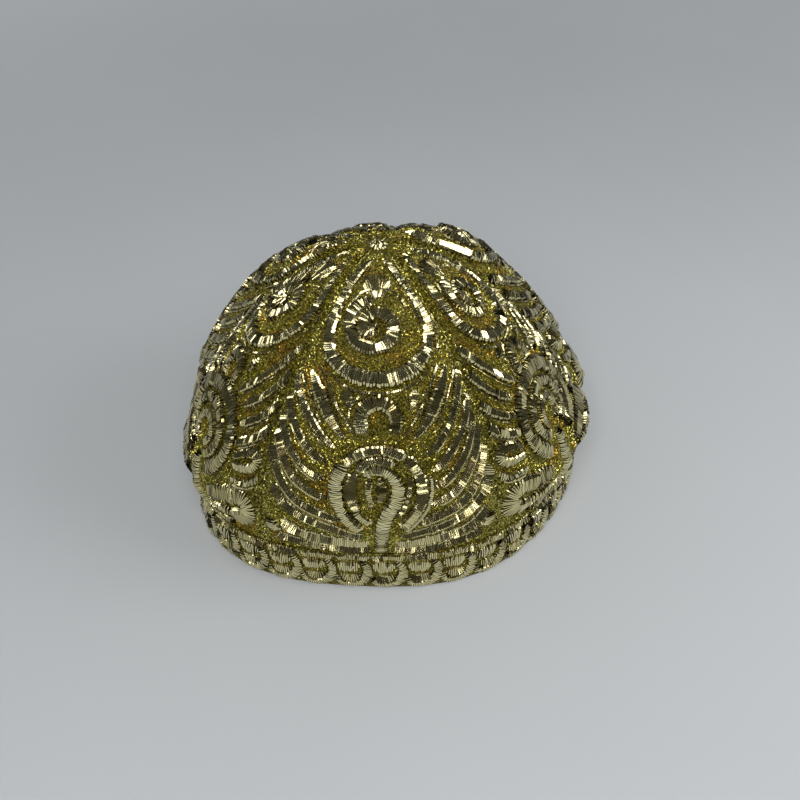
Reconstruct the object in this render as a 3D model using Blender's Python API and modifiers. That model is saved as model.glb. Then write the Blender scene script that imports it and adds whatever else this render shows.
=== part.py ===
"""A soft dome cap of six puffed gores, embroidered with padded metal-thread ribbons.

The cap rests on the lower edge of its headband, front towards -Y and +Z up, in metres.
Every cloth piece follows one surface, crown_point(turn, rise), at its own height above it
or depth below it. turn is the angle from the front towards +X, and rise runs from 0 at the
headband's lower edge to 1 at the crown's tip.
"""

import math

import bmesh
import bpy
import numpy as np

MM = 0.001

# The outer face of the cap
BAND_RADIUS = 86.9 * MM
BAND_HEIGHT = 23.2 * MM
GIRTH_HEIGHT = 36.1 * MM
CROWN_HEIGHT = 138.9 * MM
SIDE_SWELL = 1.062
FRONT_SWELL = 0.982
DOME_POWER = 1.606
BAND_RISE = 0.12
GIRTH_RISE = 0.32

# How the band's outline and the dome's upper half stray from round: order, cosine, sine
PLAN_WAVES = ((1, -0.010, 0.046), (2, -0.097, -0.058), (3, 0.012, 0.004), (4, -0.017, 0.023))
DOME_WAVES = ((1, 0.005, -0.076), (2, 0.086, 0.037))

# The gores, by their seams' angles in degrees and how far each puffs out between its seams
GORES = {
    "left": (-88.2, -39.2, 4.0 * MM),
    "front": (-39.2, 37.8, 10.0 * MM),
    "right": (37.8, 102.2, 4.1 * MM),
    "back_right": (102.2, 158.7, 9.5 * MM),
    "back": (158.7, 215.3, 4.5 * MM),
    "back_left": (215.3, 271.8, 5.7 * MM),
}
PUFF_POWER = 2.2
PUFF_FULL_RISE = 0.46
PUFF_FULL_RADIUS = 60.0 * MM
PUFF_TAPER = 0.6
TIP_CALM_RADIUS = 14.0 * MM

# Where the crown's axis stands, so that the cap's box is centred on the origin
AXIS_X = -4.3 * MM
AXIS_Y = -0.1 * MM

# Cloth thicknesses, and the gap that stitched pieces keep
GAP = 0.3 * MM
GORE_CLOTH = 1.2 * MM
GORE_TIP_RISE = 0.985
LINING_DEPTH = 2.6 * MM
LINING_CLOTH = 0.6 * MM
BAND_CLOTH = 2.0 * MM
INTERLINING_DEPTH = 2.4 * MM
INTERLINING_CLOTH = 1.0 * MM
INTERLINING_LOW, INTERLINING_HIGH = 1.0 * MM, 20.5 * MM
SWEATBAND_DEPTH = 4.8 * MM
SWEATBAND_CLOTH = 0.6 * MM
SWEATBAND_LOW, SWEATBAND_HIGH = 0.8 * MM, 26.0 * MM

# Braids and padded ribbons
BRAID_CLOTH = 0.7 * MM
SEAM_BRAID_WIDTH = 4.0 * MM
SEAM_BRAID_TIP_RISE = 0.945
EDGE_BRAID_LOW, EDGE_BRAID_HIGH = 17.0 * MM, 21.2 * MM
TIP_ROSETTE_RADIUS = 4.2 * MM
TIP_ROSETTE_HEIGHT = 1.2 * MM
TIP_ROSETTE_LIFT = 0.9 * MM
RIBBON_CLOTH = 1.1 * MM
STITCH_LIFT = 0.7 * MM

# The embroidery's outlines on the front gore: across from its middle line, up from the band
TEARDROP_TIP = 151.0 * MM
TEARDROP_CENTRE = 116.5 * MM
TEARDROP_RADIUS = 21.0 * MM
TEARDROP_WIDTH = 4.6 * MM
COIL_CENTRE = 116.5 * MM
COIL_OUTER, COIL_INNER = 14.0 * MM, 3.6 * MM
COIL_TURNS = 1.75
COIL_WIDTH = 3.6 * MM
SCROLL_CENTRE = 79.0 * MM
SCROLL_REACH = 7.0 * MM
SCROLL_WIDTH = 6.0 * MM
LOOP_WIDTH = 5.0 * MM
LOOP_POINTS = ((-9.0, 26.0), (-13.5, 30.0), (-17.3, 36.0), (-19.2, 43.0), (-19.2, 51.0),
               (-17.0, 57.0), (-12.0, 62.0), (-4.0, 65.0), (4.0, 65.0), (11.0, 62.0),
               (15.5, 56.0), (18.5, 48.0), (17.5, 40.0), (13.5, 32.5), (8.5, 26.5))
STEM_WIDTH = 5.4 * MM
STEM_POINTS = ((-6.5, 56.0), (-0.5, 57.5), (4.5, 54.5), (7.5, 48.5), (6.5, 43.5),
               (2.5, 36.5), (0.5, 28.5), (-0.4, 21.0), (-0.5, 12.0), (-0.5, 3.5))
SEAM_MARGIN = 3.4 * MM

# How finely each kind of sheet is divided
GORE_GRID = (10, 12)
LINING_GRID = (5, 7)
RING_STEPS = 60
BRAID_STEPS = 14
TEARDROP_STEPS = 22
COIL_STEPS = 26
SCROLL_STEPS = 10
LOOP_STEPS = 18
STEM_STEPS = 14

GOLD_GROUND = ("gold_ground", (0.33, 0.27, 0.09), 0.42, 0.85)
GOLD_SATIN = ("gold_satin_stitch", (0.62, 0.54, 0.27), 0.30, 0.90)
GOLD_BRAID = ("gold_braid", (0.42, 0.36, 0.12), 0.35, 0.90)
HEADBAND_SATIN = ("headband_satin", (0.52, 0.46, 0.22), 0.32, 0.90)
LINING_SATIN = ("lining_satin", (0.42, 0.35, 0.20), 0.45, 0.0)
CANVAS = ("stiff_canvas", (0.75, 0.72, 0.64), 0.90, 0.0)
GROSGRAIN = ("grosgrain", (0.20, 0.17, 0.10), 0.70, 0.0)


def smooth_step(value):
    """An ease from 0 to 1."""
    value = np.clip(value, 0.0, 1.0)
    return value * value * (3.0 - 2.0 * value)


def waves(turn, terms):
    """A sum of cosine and sine waves round the cap."""
    return sum(c * np.cos(order * turn) + s * np.sin(order * turn) for order, c, s in terms)


def puff_at(turn):
    """How far the cloth puffs out at an angle: full in the middle of a gore, none on a seam."""
    first = math.radians(GORES["left"][0])
    turn = (turn - first) % math.tau + first
    puff = np.zeros_like(turn)
    for left, right, full in GORES.values():
        left, right = math.radians(left), math.radians(right)
        across = (2.0 * turn - left - right) / (right - left)
        inside = np.abs(across) <= 1.0
        puff[inside] = full * (1.0 - np.abs(across[inside]) ** PUFF_POWER)
    return puff


def crown_point(turn, rise):
    """Points of the cap's outer face, for arrays of angles and rises."""
    turn, rise = np.broadcast_arrays(np.asarray(turn, float), np.asarray(rise, float))
    facing = np.clip(0.5 + 0.5 * np.cos(turn), 0.0, 1.0) ** 1.5
    swell = SIDE_SWELL + (FRONT_SWELL - SIDE_SWELL) * facing

    in_band = np.clip(rise / BAND_RISE, 0.0, 1.0)
    in_wall = np.clip((rise - BAND_RISE) / (GIRTH_RISE - BAND_RISE), 0.0, 1.0)
    in_dome = np.clip((rise - GIRTH_RISE) / (1.0 - GIRTH_RISE), 0.0, 1.0)
    lean = in_dome * math.pi / 2.0

    spread = 1.0 + (swell - 1.0) * (0.5 - 0.5 * np.cos(in_wall * math.pi))
    spread = spread * np.maximum(np.cos(lean), 0.0) ** (2.0 / DOME_POWER)
    radius = BAND_RADIUS * (1.0 + waves(turn, PLAN_WAVES)) * spread
    radius = radius * (1.0 + np.sin(in_dome * math.pi) * waves(turn, DOME_WAVES))
    height = BAND_HEIGHT * in_band + (GIRTH_HEIGHT - BAND_HEIGHT) * in_wall
    height = height + (CROWN_HEIGHT - GIRTH_HEIGHT) * np.sin(lean) ** (2.0 / DOME_POWER)

    puff = puff_at(turn) * smooth_step((rise - BAND_RISE) / (PUFF_FULL_RISE - BAND_RISE))
    puff = puff * np.clip(radius / PUFF_FULL_RADIUS, 0.0, 1.0) ** PUFF_TAPER
    puff = puff * smooth_step(radius / TIP_CALM_RADIUS)
    radius = radius + puff * np.cos(lean)
    height = height + puff * np.sin(lean)
    return np.stack([AXIS_X + radius * np.sin(turn), AXIS_Y - radius * np.cos(turn), height], -1)


def crown_normal(turn, rise):
    """The outward normals of the cap's outer face."""
    step = 0.002
    across = crown_point(turn + step, rise) - crown_point(turn - step, rise)
    upward = crown_point(turn, np.minimum(rise + step, 1.0)) - crown_point(turn, rise - step)
    normal = np.cross(across, upward)
    return normal / np.linalg.norm(normal, axis=-1, keepdims=True)


def lifted_point(turn, rise, lift):
    """Points at a height above the outer face, or below it where the lift is negative."""
    return crown_point(turn, rise) + lift * crown_normal(turn, rise)


def rise_at_height(height):
    """The rise of a height within the headband or the wall just above it."""
    if height <= BAND_HEIGHT:
        return BAND_RISE * height / BAND_HEIGHT
    share = (height - BAND_HEIGHT) / (GIRTH_HEIGHT - BAND_HEIGHT)
    return BAND_RISE + (GIRTH_RISE - BAND_RISE) * share


def middle_line(gore):
    """A gore's middle line: its rises, the lengths up from the band, and half the gore's width."""
    left, right, _ = GORES[gore]
    middle, half = math.radians((left + right) / 2.0), math.radians((right - left) / 2.0)
    rises = np.linspace(BAND_RISE, 1.0, 300)
    line = crown_point(np.full_like(rises, middle), rises)
    steps = np.linalg.norm(np.diff(line, axis=0), axis=1)
    lengths = np.concatenate([[0.0], np.cumsum(steps)])
    radius = np.hypot(line[:, 0] - AXIS_X, line[:, 1] - AXIS_Y)
    return middle, half, rises, lengths, radius * half


def gore_coordinates(gore, across, up):
    """The turns and rises of a place on a gore, and how wide a ribbon is there.

    across is measured from the gore's middle line as the front gore's width would have it,
    up is the length along the middle line from the headband's upper edge, and the width is
    given as a share of the front gore's.
    """
    middle, half, rises, lengths, half_widths = middle_line(gore)
    _, _, _, front_lengths, front_half_widths = middle_line("front")
    rise = np.interp(up * lengths[-1] / front_lengths[-1], lengths, rises)
    half_width = np.interp(rise, rises, half_widths)
    front_half_width = np.interp(rise, rises, front_half_widths)
    share = (half_width - SEAM_MARGIN) / (front_half_width - SEAM_MARGIN)
    return middle + half * across * share / half_width, rise, share


def make_material(description):
    """One Principled material of a colour, roughness and metallic value."""
    name, colour, roughness, metallic = description
    if name in bpy.data.materials:
        return bpy.data.materials[name]
    material = bpy.data.materials.new(name)
    material.use_nodes = True
    shader = material.node_tree.nodes["Principled BSDF"]
    shader.inputs["Base Color"].default_value = (*colour, 1.0)
    shader.inputs["Roughness"].default_value = roughness
    shader.inputs["Metallic"].default_value = metallic
    return material


def add_object(name, mesh, description):
    """Put a mesh in the cap's collection as one named sub-part."""
    mesh.polygons.foreach_set("use_smooth", [True] * len(mesh.polygons))
    mesh.materials.append(make_material(description))
    part = bpy.data.objects.new(name, mesh)
    bpy.data.collections["embroidered_cap"].objects.link(part)
    return part


def add_thickness(part, thickness):
    """Give an open sheet its cloth thickness, inwards from the drawn face."""
    solid = part.modifiers.new("cloth", "SOLIDIFY")
    solid.thickness = thickness
    solid.offset = -1.0
    solid.use_rim = True


def cloth_sheet(name, grid, place, thickness, description):
    """A sheet of cloth: a grid whose places across and up (0 to 1) are given by a function."""
    columns, rows = grid
    sheet = bmesh.new()
    bmesh.ops.create_grid(sheet, x_segments=columns, y_segments=rows, size=0.5)
    flat = np.array([corner.co for corner in sheet.verts])
    for corner, point in zip(sheet.verts, place(flat[:, 0] + 0.5, flat[:, 1] + 0.5)):
        corner.co = point
    mesh = bpy.data.meshes.new(name)
    sheet.to_mesh(mesh)
    sheet.free()
    part = add_object(name, mesh, description)
    add_thickness(part, thickness)
    return part


def band_ring(name, low, high, depth, thickness, description):
    """An upright ring of cloth that follows the headband's outline at a depth inside it."""
    ring = bmesh.new()
    bmesh.ops.create_cone(ring, segments=RING_STEPS, radius1=1.0, radius2=1.0, depth=1.0)
    for corner in ring.verts:
        turn = np.array([math.atan2(corner.co.x, -corner.co.y)])
        point = lifted_point(turn, np.array([BAND_RISE / 2.0]), -depth)[0]
        height = low if corner.co.z < 0.0 else high
        corner.co = (point[0], point[1], height)
    mesh = bpy.data.meshes.new(name)
    ring.to_mesh(mesh)
    ring.free()
    part = add_object(name, mesh, description)
    add_thickness(part, thickness)
    return part


def gore_sheet(name, gore, grid, depth, thickness, description):
    """A gore of cloth between two seams, from the headband's upper edge to the tip."""
    left, right, _ = GORES[gore]
    left, right = math.radians(left), math.radians(right)
    low = rise_at_height(BAND_HEIGHT + GAP)

    def place(across, up):
        rise = low + (GORE_TIP_RISE - low) * up
        edge = crown_point(np.full_like(rise, left), rise)
        radius = np.hypot(edge[:, 0] - AXIS_X, edge[:, 1] - AXIS_Y)
        margin = 0.5 * GAP / radius
        turn = left + margin + (right - left - 2.0 * margin) * across
        return lifted_point(turn, rise, -depth)

    return cloth_sheet(name, grid, place, thickness, description)


def seam_braid(name, angle):
    """A narrow braid that covers a seam from the headband to the rosette."""
    seam = math.radians(angle)
    low = rise_at_height(BAND_HEIGHT + 2.0 * GAP)

    def place(across, up):
        rise = low + (SEAM_BRAID_TIP_RISE - low) * up
        edge = crown_point(np.full_like(rise, seam), rise)
        radius = np.hypot(edge[:, 0] - AXIS_X, edge[:, 1] - AXIS_Y)
        turn = seam + SEAM_BRAID_WIDTH * (across - 0.5) / radius
        return lifted_point(turn, rise, STITCH_LIFT + BRAID_CLOTH)

    return cloth_sheet(name, (2, BRAID_STEPS), place, BRAID_CLOTH, GOLD_BRAID)


def smooth_path(points, steps):
    """A smooth curve of even steps through an outline's own points."""
    points = np.asarray(points, float)
    spans = np.linalg.norm(np.diff(points, axis=0), axis=1)
    knots = np.concatenate([[0.0], np.cumsum(spans)])
    slopes = np.gradient(points, knots, axis=0)
    places = np.linspace(0.0, knots[-1], steps + 1)
    span = np.clip(np.searchsorted(knots, places, side="right") - 1, 0, len(spans) - 1)
    length = spans[span][:, None]
    t = (places[:, None] - knots[span][:, None]) / length
    return ((2 * t**3 - 3 * t**2 + 1) * points[span] + (t**3 - 2 * t**2 + t) * length * slopes[span]
            + (3 * t**2 - 2 * t**3) * points[span + 1] + (t**3 - t**2) * length * slopes[span + 1])


def teardrop_path():
    """A teardrop, open at its tip: two straight flanks that touch a round bottom."""
    reach = TEARDROP_TIP - TEARDROP_CENTRE
    touch = math.acos(TEARDROP_RADIUS / reach)
    start, sweep = math.pi / 2.0 + touch, math.tau - 2.0 * touch
    arc = [(TEARDROP_RADIUS * math.cos(start + sweep * k / 12.0),
            TEARDROP_CENTRE + TEARDROP_RADIUS * math.sin(start + sweep * k / 12.0))
           for k in range(13)]
    side = 0.5 * TEARDROP_WIDTH + GAP
    return [(-side, TEARDROP_TIP - side)] + arc + [(side, TEARDROP_TIP - side)]


def coil_path():
    """A flat spiral that winds in towards its centre."""
    places = []
    for k in range(29):
        share = k / 28.0
        radius = COIL_OUTER + (COIL_INNER - COIL_OUTER) * share
        angle = 0.75 * math.pi + COIL_TURNS * math.tau * share
        places.append((radius * math.cos(angle), COIL_CENTRE + radius * math.sin(angle)))
    return places


def scroll_path():
    """A short arch, its two feet towards the headband."""
    places = []
    for k in range(9):
        angle = math.pi * (1.2 - 1.4 * k / 8.0)
        places.append((SCROLL_REACH * math.cos(angle), SCROLL_CENTRE + SCROLL_REACH * math.sin(angle)))
    return places


def padded_ribbon(name, gore, outline, width, steps):
    """A padded ribbon of satin stitches laid along an outline on a gore."""
    path = smooth_path(outline, steps)
    turn, rise, share = gore_coordinates(gore, path[:, 0], path[:, 1])
    width = width * share
    centre = lifted_point(turn, rise, STITCH_LIFT + RIBBON_CLOTH)
    normal = crown_normal(turn, rise)
    side = np.cross(normal, np.gradient(centre, axis=0))
    side = side / np.linalg.norm(side, axis=-1, keepdims=True)

    def place(across, up):
        step = np.rint(up * steps).astype(int)
        return centre[step] - side[step] * (width[step] * (across - 0.5))[:, None]

    return cloth_sheet(name, (1, steps), place, RIBBON_CLOTH, GOLD_SATIN)


def tip_rosette():
    """The small stitched button where the six gores and their seam braids meet."""
    button = bmesh.new()
    bmesh.ops.create_cone(button, cap_ends=True, segments=20, radius1=TIP_ROSETTE_RADIUS,
                          radius2=0.6 * TIP_ROSETTE_RADIUS, depth=TIP_ROSETTE_HEIGHT)
    mesh = bpy.data.meshes.new("tip_rosette")
    button.to_mesh(mesh)
    button.free()
    part = add_object("tip_rosette", mesh, GOLD_BRAID)
    height = CROWN_HEIGHT + TIP_ROSETTE_LIFT + 0.5 * TIP_ROSETTE_HEIGHT
    part.location = (AXIS_X, AXIS_Y, height)


def build():
    """Make every sub-part of the cap in its own collection."""
    for old in list(bpy.data.objects):
        bpy.data.objects.remove(old)
    collection = bpy.data.collections.new("embroidered_cap")
    bpy.context.scene.collection.children.link(collection)

    band_ring("headband", 0.0, BAND_HEIGHT, 0.0, BAND_CLOTH, HEADBAND_SATIN)
    band_ring("headband_interlining", INTERLINING_LOW, INTERLINING_HIGH,
              INTERLINING_DEPTH, INTERLINING_CLOTH, CANVAS)
    band_ring("sweatband", SWEATBAND_LOW, SWEATBAND_HIGH,
              SWEATBAND_DEPTH, SWEATBAND_CLOTH, GROSGRAIN)
    band_ring("headband_edge_braid", EDGE_BRAID_LOW, EDGE_BRAID_HIGH,
              -GAP - BRAID_CLOTH, BRAID_CLOTH, GOLD_BRAID)

    for gore, (_, right_seam, _) in GORES.items():
        gore_sheet("gore_" + gore, gore, GORE_GRID, 0.0, GORE_CLOTH, GOLD_GROUND)
        gore_sheet("lining_" + gore, gore, LINING_GRID, LINING_DEPTH, LINING_CLOTH, LINING_SATIN)
        seam_braid("seam_braid_right_of_" + gore, right_seam)
        padded_ribbon("teardrop_" + gore, gore, teardrop_path(), TEARDROP_WIDTH, TEARDROP_STEPS)
        padded_ribbon("coil_" + gore, gore, coil_path(), COIL_WIDTH, COIL_STEPS)
        padded_ribbon("scroll_" + gore, gore, scroll_path(), SCROLL_WIDTH, SCROLL_STEPS)
        padded_ribbon("eye_loop_" + gore, gore, np.array(LOOP_POINTS) * MM, LOOP_WIDTH, LOOP_STEPS)
        padded_ribbon("eye_stem_" + gore, gore, np.array(STEM_POINTS) * MM, STEM_WIDTH, STEM_STEPS)
    tip_rosette()


build()
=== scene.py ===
"""The embroidered dome cap's visual model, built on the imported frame.

Every stitch lies on the same surface as the CAD model's cloth: a turn from the front towards +X,
and a rise from the headband's lower edge to the crown's tip. The embroidery is drawn in
millimetres on the front gore (across from its middle line, up from the headband), and each gore
takes it at its own width. Lengths here are millimetres until a mesh is made.
"""

import math
from collections import namedtuple

import bpy
import numpy as np
from mathutils import Matrix, Vector, kdtree


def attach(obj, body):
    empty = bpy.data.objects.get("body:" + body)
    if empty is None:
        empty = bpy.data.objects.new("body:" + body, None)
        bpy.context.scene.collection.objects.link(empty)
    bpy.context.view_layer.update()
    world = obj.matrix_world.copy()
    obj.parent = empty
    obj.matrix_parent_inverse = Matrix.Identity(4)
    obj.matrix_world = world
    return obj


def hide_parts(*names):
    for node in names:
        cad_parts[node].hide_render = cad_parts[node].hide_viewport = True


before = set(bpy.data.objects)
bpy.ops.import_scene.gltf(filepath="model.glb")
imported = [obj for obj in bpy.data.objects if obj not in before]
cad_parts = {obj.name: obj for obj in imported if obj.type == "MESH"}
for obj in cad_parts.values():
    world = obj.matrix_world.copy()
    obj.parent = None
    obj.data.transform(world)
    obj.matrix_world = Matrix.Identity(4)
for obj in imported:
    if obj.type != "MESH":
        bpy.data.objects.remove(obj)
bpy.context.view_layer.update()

MM = 0.001
RNG = np.random.default_rng(20)

# The cap's outer face, as in the CAD model
BAND_RADIUS = 86.9
BAND_HEIGHT = 23.2
GIRTH_HEIGHT = 36.1
CROWN_HEIGHT = 138.9
SIDE_SWELL = 1.062
FRONT_SWELL = 0.982
DOME_POWER = 1.606
BAND_RISE = 0.12
GIRTH_RISE = 0.32
PLAN_WAVES = ((1, -0.010, 0.046), (2, -0.097, -0.058), (3, 0.012, 0.004), (4, -0.017, 0.023))
DOME_WAVES = ((1, 0.005, -0.076), (2, 0.086, 0.037))
GORES = {
    "left": (-88.2, -39.2, 4.0),
    "front": (-39.2, 37.8, 10.0),
    "right": (37.8, 102.2, 4.1),
    "back_right": (102.2, 158.7, 9.5),
    "back": (158.7, 215.3, 4.5),
    "back_left": (215.3, 271.8, 5.7),
}
PUFF_POWER = 2.2
PUFF_FULL_RISE = 0.46
PUFF_FULL_RADIUS = 60.0
PUFF_TAPER = 0.6
TIP_CALM_RADIUS = 14.0
AXIS_X = -4.3
AXIS_Y = -0.1
SEAM_MARGIN = 3.4

# Cloth: thicknesses, depths below the outer face, and the lower and upper edges of the inner rings
CLOTH_THICK = 1.2
BAND_THICK = 2.0
LINING_THICK = 0.5
LINING_DEPTH = 2.6
CANVAS_THICK = 0.9
CANVAS_DEPTH = 2.5
CANVAS_EDGES = (1.0, 20.5)
SWEATBAND_THICK = 0.6
SWEATBAND_DEPTH = 4.8
SWEATBAND_EDGES = (0.8, 26.0)
GORE_RISES = (0.1225, 0.985)

# Satin stitches: how much of its pitch each one and its padding strip fill, the padding painted dark as the
# shade in the gaps between stitches, and how high it lies over the cloth
STITCH_SHARE = 0.74
# The padding strip is wider than its stitch, so that its painted shade shows in the gaps
SHADE_PADDING_SHARE = 1.03
STITCH_LIFT = 0.25

# Chain stitches: the width of a row, the spacing, the grid of trial places, and where a gore's end
ROW = 0.76
KNOT_SPACING = 0.72
SEARCH_STEP = 0.62
PATTERN_TOP = 158.0

# The headband's repeats, the rows on each side of a seam, and the button on the tip
BAND_BLOCKS = 34
SEAM_ROWS = 4
SEAM_ROW = 0.82
SEAM_STEP = 0.86
SEAM_NARROW_RADIUS = 22.0
BUTTON_STITCHES = 44
BUTTON_HEART = 0.35
BUTTON_REACH = 4.2
BUTTON_RISE = 1.5

# In metres: how far the floor lies below the cap's edge, and the height that lights and camera aim at
FLOOR_GAP = 0.0003
AIM_HEIGHT = 0.06


# --- The surface ---

def smooth_step(value):
    """An ease from 0 to 1."""
    value = np.clip(value, 0.0, 1.0)
    return value * value * (3.0 - 2.0 * value)


def waves(turn, terms):
    """A sum of cosine and sine waves round the cap."""
    return sum(c * np.cos(order * turn) + s * np.sin(order * turn) for order, c, s in terms)


def puff_at(turn):
    """How far the cloth puffs out at an angle: full in the middle of a gore, none on a seam."""
    first = math.radians(GORES["left"][0])
    turn = (turn - first) % math.tau + first
    puff = np.zeros_like(turn)
    for left, right, full in GORES.values():
        left, right = math.radians(left), math.radians(right)
        across = (2.0 * turn - left - right) / (right - left)
        inside = np.abs(across) <= 1.0
        puff[inside] = full * (1.0 - np.abs(across[inside]) ** PUFF_POWER)
    return puff


def hand_waves(turn, rise):
    """The small unevenness of cloth stiffened by hand with thread."""
    uneven = 0.45 * np.sin(5.0 * turn + 1.0) * np.sin(11.0 * rise + 0.5)
    uneven = uneven + 0.30 * np.sin(13.0 * turn + 2.0) * np.sin(19.0 * rise + 1.0)
    uneven = uneven + 0.18 * np.sin(29.0 * turn) * np.sin(37.0 * rise)
    return uneven * smooth_step((rise - BAND_RISE) / 0.1) * smooth_step((0.97 - rise) / 0.12)


def crown_point(turn, rise):
    """Points of the cap's outer face, for arrays of angles and rises."""
    turn, rise = np.broadcast_arrays(np.asarray(turn, float), np.asarray(rise, float))
    facing = np.clip(0.5 + 0.5 * np.cos(turn), 0.0, 1.0) ** 1.5
    swell = SIDE_SWELL + (FRONT_SWELL - SIDE_SWELL) * facing

    in_band = np.clip(rise / BAND_RISE, 0.0, 1.0)
    in_wall = np.clip((rise - BAND_RISE) / (GIRTH_RISE - BAND_RISE), 0.0, 1.0)
    in_dome = np.clip((rise - GIRTH_RISE) / (1.0 - GIRTH_RISE), 0.0, 1.0)
    lean = in_dome * math.pi / 2.0

    spread = 1.0 + (swell - 1.0) * (0.5 - 0.5 * np.cos(in_wall * math.pi))
    spread = spread * np.maximum(np.cos(lean), 0.0) ** (2.0 / DOME_POWER)
    radius = BAND_RADIUS * (1.0 + waves(turn, PLAN_WAVES)) * spread
    radius = radius * (1.0 + np.sin(in_dome * math.pi) * waves(turn, DOME_WAVES))
    height = BAND_HEIGHT * in_band + (GIRTH_HEIGHT - BAND_HEIGHT) * in_wall
    height = height + (CROWN_HEIGHT - GIRTH_HEIGHT) * np.sin(lean) ** (2.0 / DOME_POWER)

    puff = puff_at(turn) * smooth_step((rise - BAND_RISE) / (PUFF_FULL_RISE - BAND_RISE))
    puff = puff * np.clip(radius / PUFF_FULL_RADIUS, 0.0, 1.0) ** PUFF_TAPER
    puff = puff * smooth_step(radius / TIP_CALM_RADIUS) + hand_waves(turn, rise)
    radius = radius + puff * np.cos(lean)
    height = height + puff * np.sin(lean)
    return np.stack([AXIS_X + radius * np.sin(turn), AXIS_Y - radius * np.cos(turn), height], -1)


def crown_normal(turn, rise):
    """The outward normals of the cap's outer face."""
    step = 0.002
    across = crown_point(turn + step, rise) - crown_point(turn - step, rise)
    upward = crown_point(turn, np.minimum(rise + step, 1.0)) - crown_point(turn, rise - step)
    normal = np.cross(across, upward)
    return normal / np.maximum(np.linalg.norm(normal, axis=-1, keepdims=True), 1e-9)


def lifted_point(turn, rise, lift):
    """Points at a height above the outer face, or below it where the lift is negative."""
    lift = np.asarray(lift, float)[..., None]
    return crown_point(turn, rise) + lift * crown_normal(turn, rise)


Line = namedtuple("Line", "middle half rises lengths half_widths")


def middle_line(gore):
    """A gore's middle angle, half angle, and along its middle line the rises, lengths, half widths."""
    left, right, _ = GORES[gore]
    middle, half = math.radians((left + right) / 2.0), math.radians((right - left) / 2.0)
    rises = np.linspace(BAND_RISE, 1.0, 400)
    line = crown_point(np.full_like(rises, middle), rises)
    steps = np.linalg.norm(np.diff(line, axis=0), axis=1)
    lengths = np.concatenate([[0.0], np.cumsum(steps)])
    return Line(middle, half, rises, lengths, np.hypot(line[:, 0] - AXIS_X, line[:, 1] - AXIS_Y) * half)


LINES = {gore: middle_line(gore) for gore in GORES}
FRONT = LINES["front"]


def front_half_width(up):
    """Half the front gore's width at a length up from the headband."""
    return np.interp(up, FRONT.lengths, FRONT.half_widths)


def on_gore(gore, drawn):
    """Places in space of drawn points (across, up, lift) on one gore."""
    line = LINES[gore]
    across, up, lift = drawn[..., 0], drawn[..., 1], drawn[..., 2]
    rise = np.interp(up * line.lengths[-1] / FRONT.lengths[-1], line.lengths, line.rises)
    own = np.interp(rise, line.rises, line.half_widths)
    front = np.interp(rise, FRONT.rises, FRONT.half_widths)
    share = np.maximum(own - SEAM_MARGIN, 0.35 * own) / np.maximum(front - SEAM_MARGIN, 0.35 * front)
    return lifted_point(line.middle + line.half * across * share / own, rise, lift)


BAND_TURNS = np.linspace(-math.pi, math.pi, 721)
BAND_LINE = crown_point(BAND_TURNS, np.full_like(BAND_TURNS, BAND_RISE / 2.0))
BAND_STEPS = np.linalg.norm(np.diff(BAND_LINE, axis=0), axis=1)
BAND_LENGTHS = np.concatenate([[0.0], np.cumsum(BAND_STEPS)])
BAND_LENGTH = BAND_LENGTHS[-1]
BAND_FRONT = np.interp(0.0, BAND_TURNS, BAND_LENGTHS)


def on_band(drawn):
    """Places in space of drawn points (along from the front, down from the upper edge, lift)."""
    along = (drawn[..., 0] + BAND_FRONT) % BAND_LENGTH
    turn = np.interp(along, BAND_LENGTHS, BAND_TURNS)
    rise = BAND_RISE * np.clip(1.0 - drawn[..., 1] / BAND_HEIGHT, 0.0, 1.0)
    return lifted_point(turn, rise, drawn[..., 2])


# --- Drawing stitches ---

def smooth_path(points, spacing):
    """Even steps along a smooth curve through a path's own points, and the curve's directions."""
    points = np.asarray(points, float)
    spans = np.linalg.norm(np.diff(points, axis=0), axis=1)
    marks = np.concatenate([[0.0], np.cumsum(spans)])
    slopes = np.gradient(points, marks, axis=0)
    count = max(int(round(marks[-1] / spacing)), 2)
    places = np.linspace(0.0, marks[-1], count + 1)
    span = np.clip(np.searchsorted(marks, places, side="right") - 1, 0, len(spans) - 1)
    length = spans[span][:, None]
    t = (places[:, None] - marks[span][:, None]) / length
    line = ((2 * t**3 - 3 * t**2 + 1) * points[span] + (t**3 - 2 * t**2 + t) * length * slopes[span]
            + (3 * t**2 - 2 * t**3) * points[span + 1] + (t**3 - t**2) * length * slopes[span + 1])
    ways = np.gradient(line, axis=0)
    return line, ways / np.maximum(np.linalg.norm(ways, axis=1, keepdims=True), 1e-9)


# A stitch's cross lines, their heights, and its two long edges
ACROSS = np.array([-1.0, -0.82, -0.5, 0.5, 0.82, 1.0])
ARCH = np.array([0.0, 0.66, 1.0, 1.0, 0.66, 0.0])
EDGES = np.array([-0.5, 0.5])


def drifting(count, reach=5):
    """Random values that drift along a ribbon, so that neighbouring stitches lie alike."""
    steps = np.repeat(RNG.normal(0.0, 1.0, count // reach + 2), reach)[:count]
    return 0.9 * steps + 0.28 * RNG.normal(0.0, 1.0, count)


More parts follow.
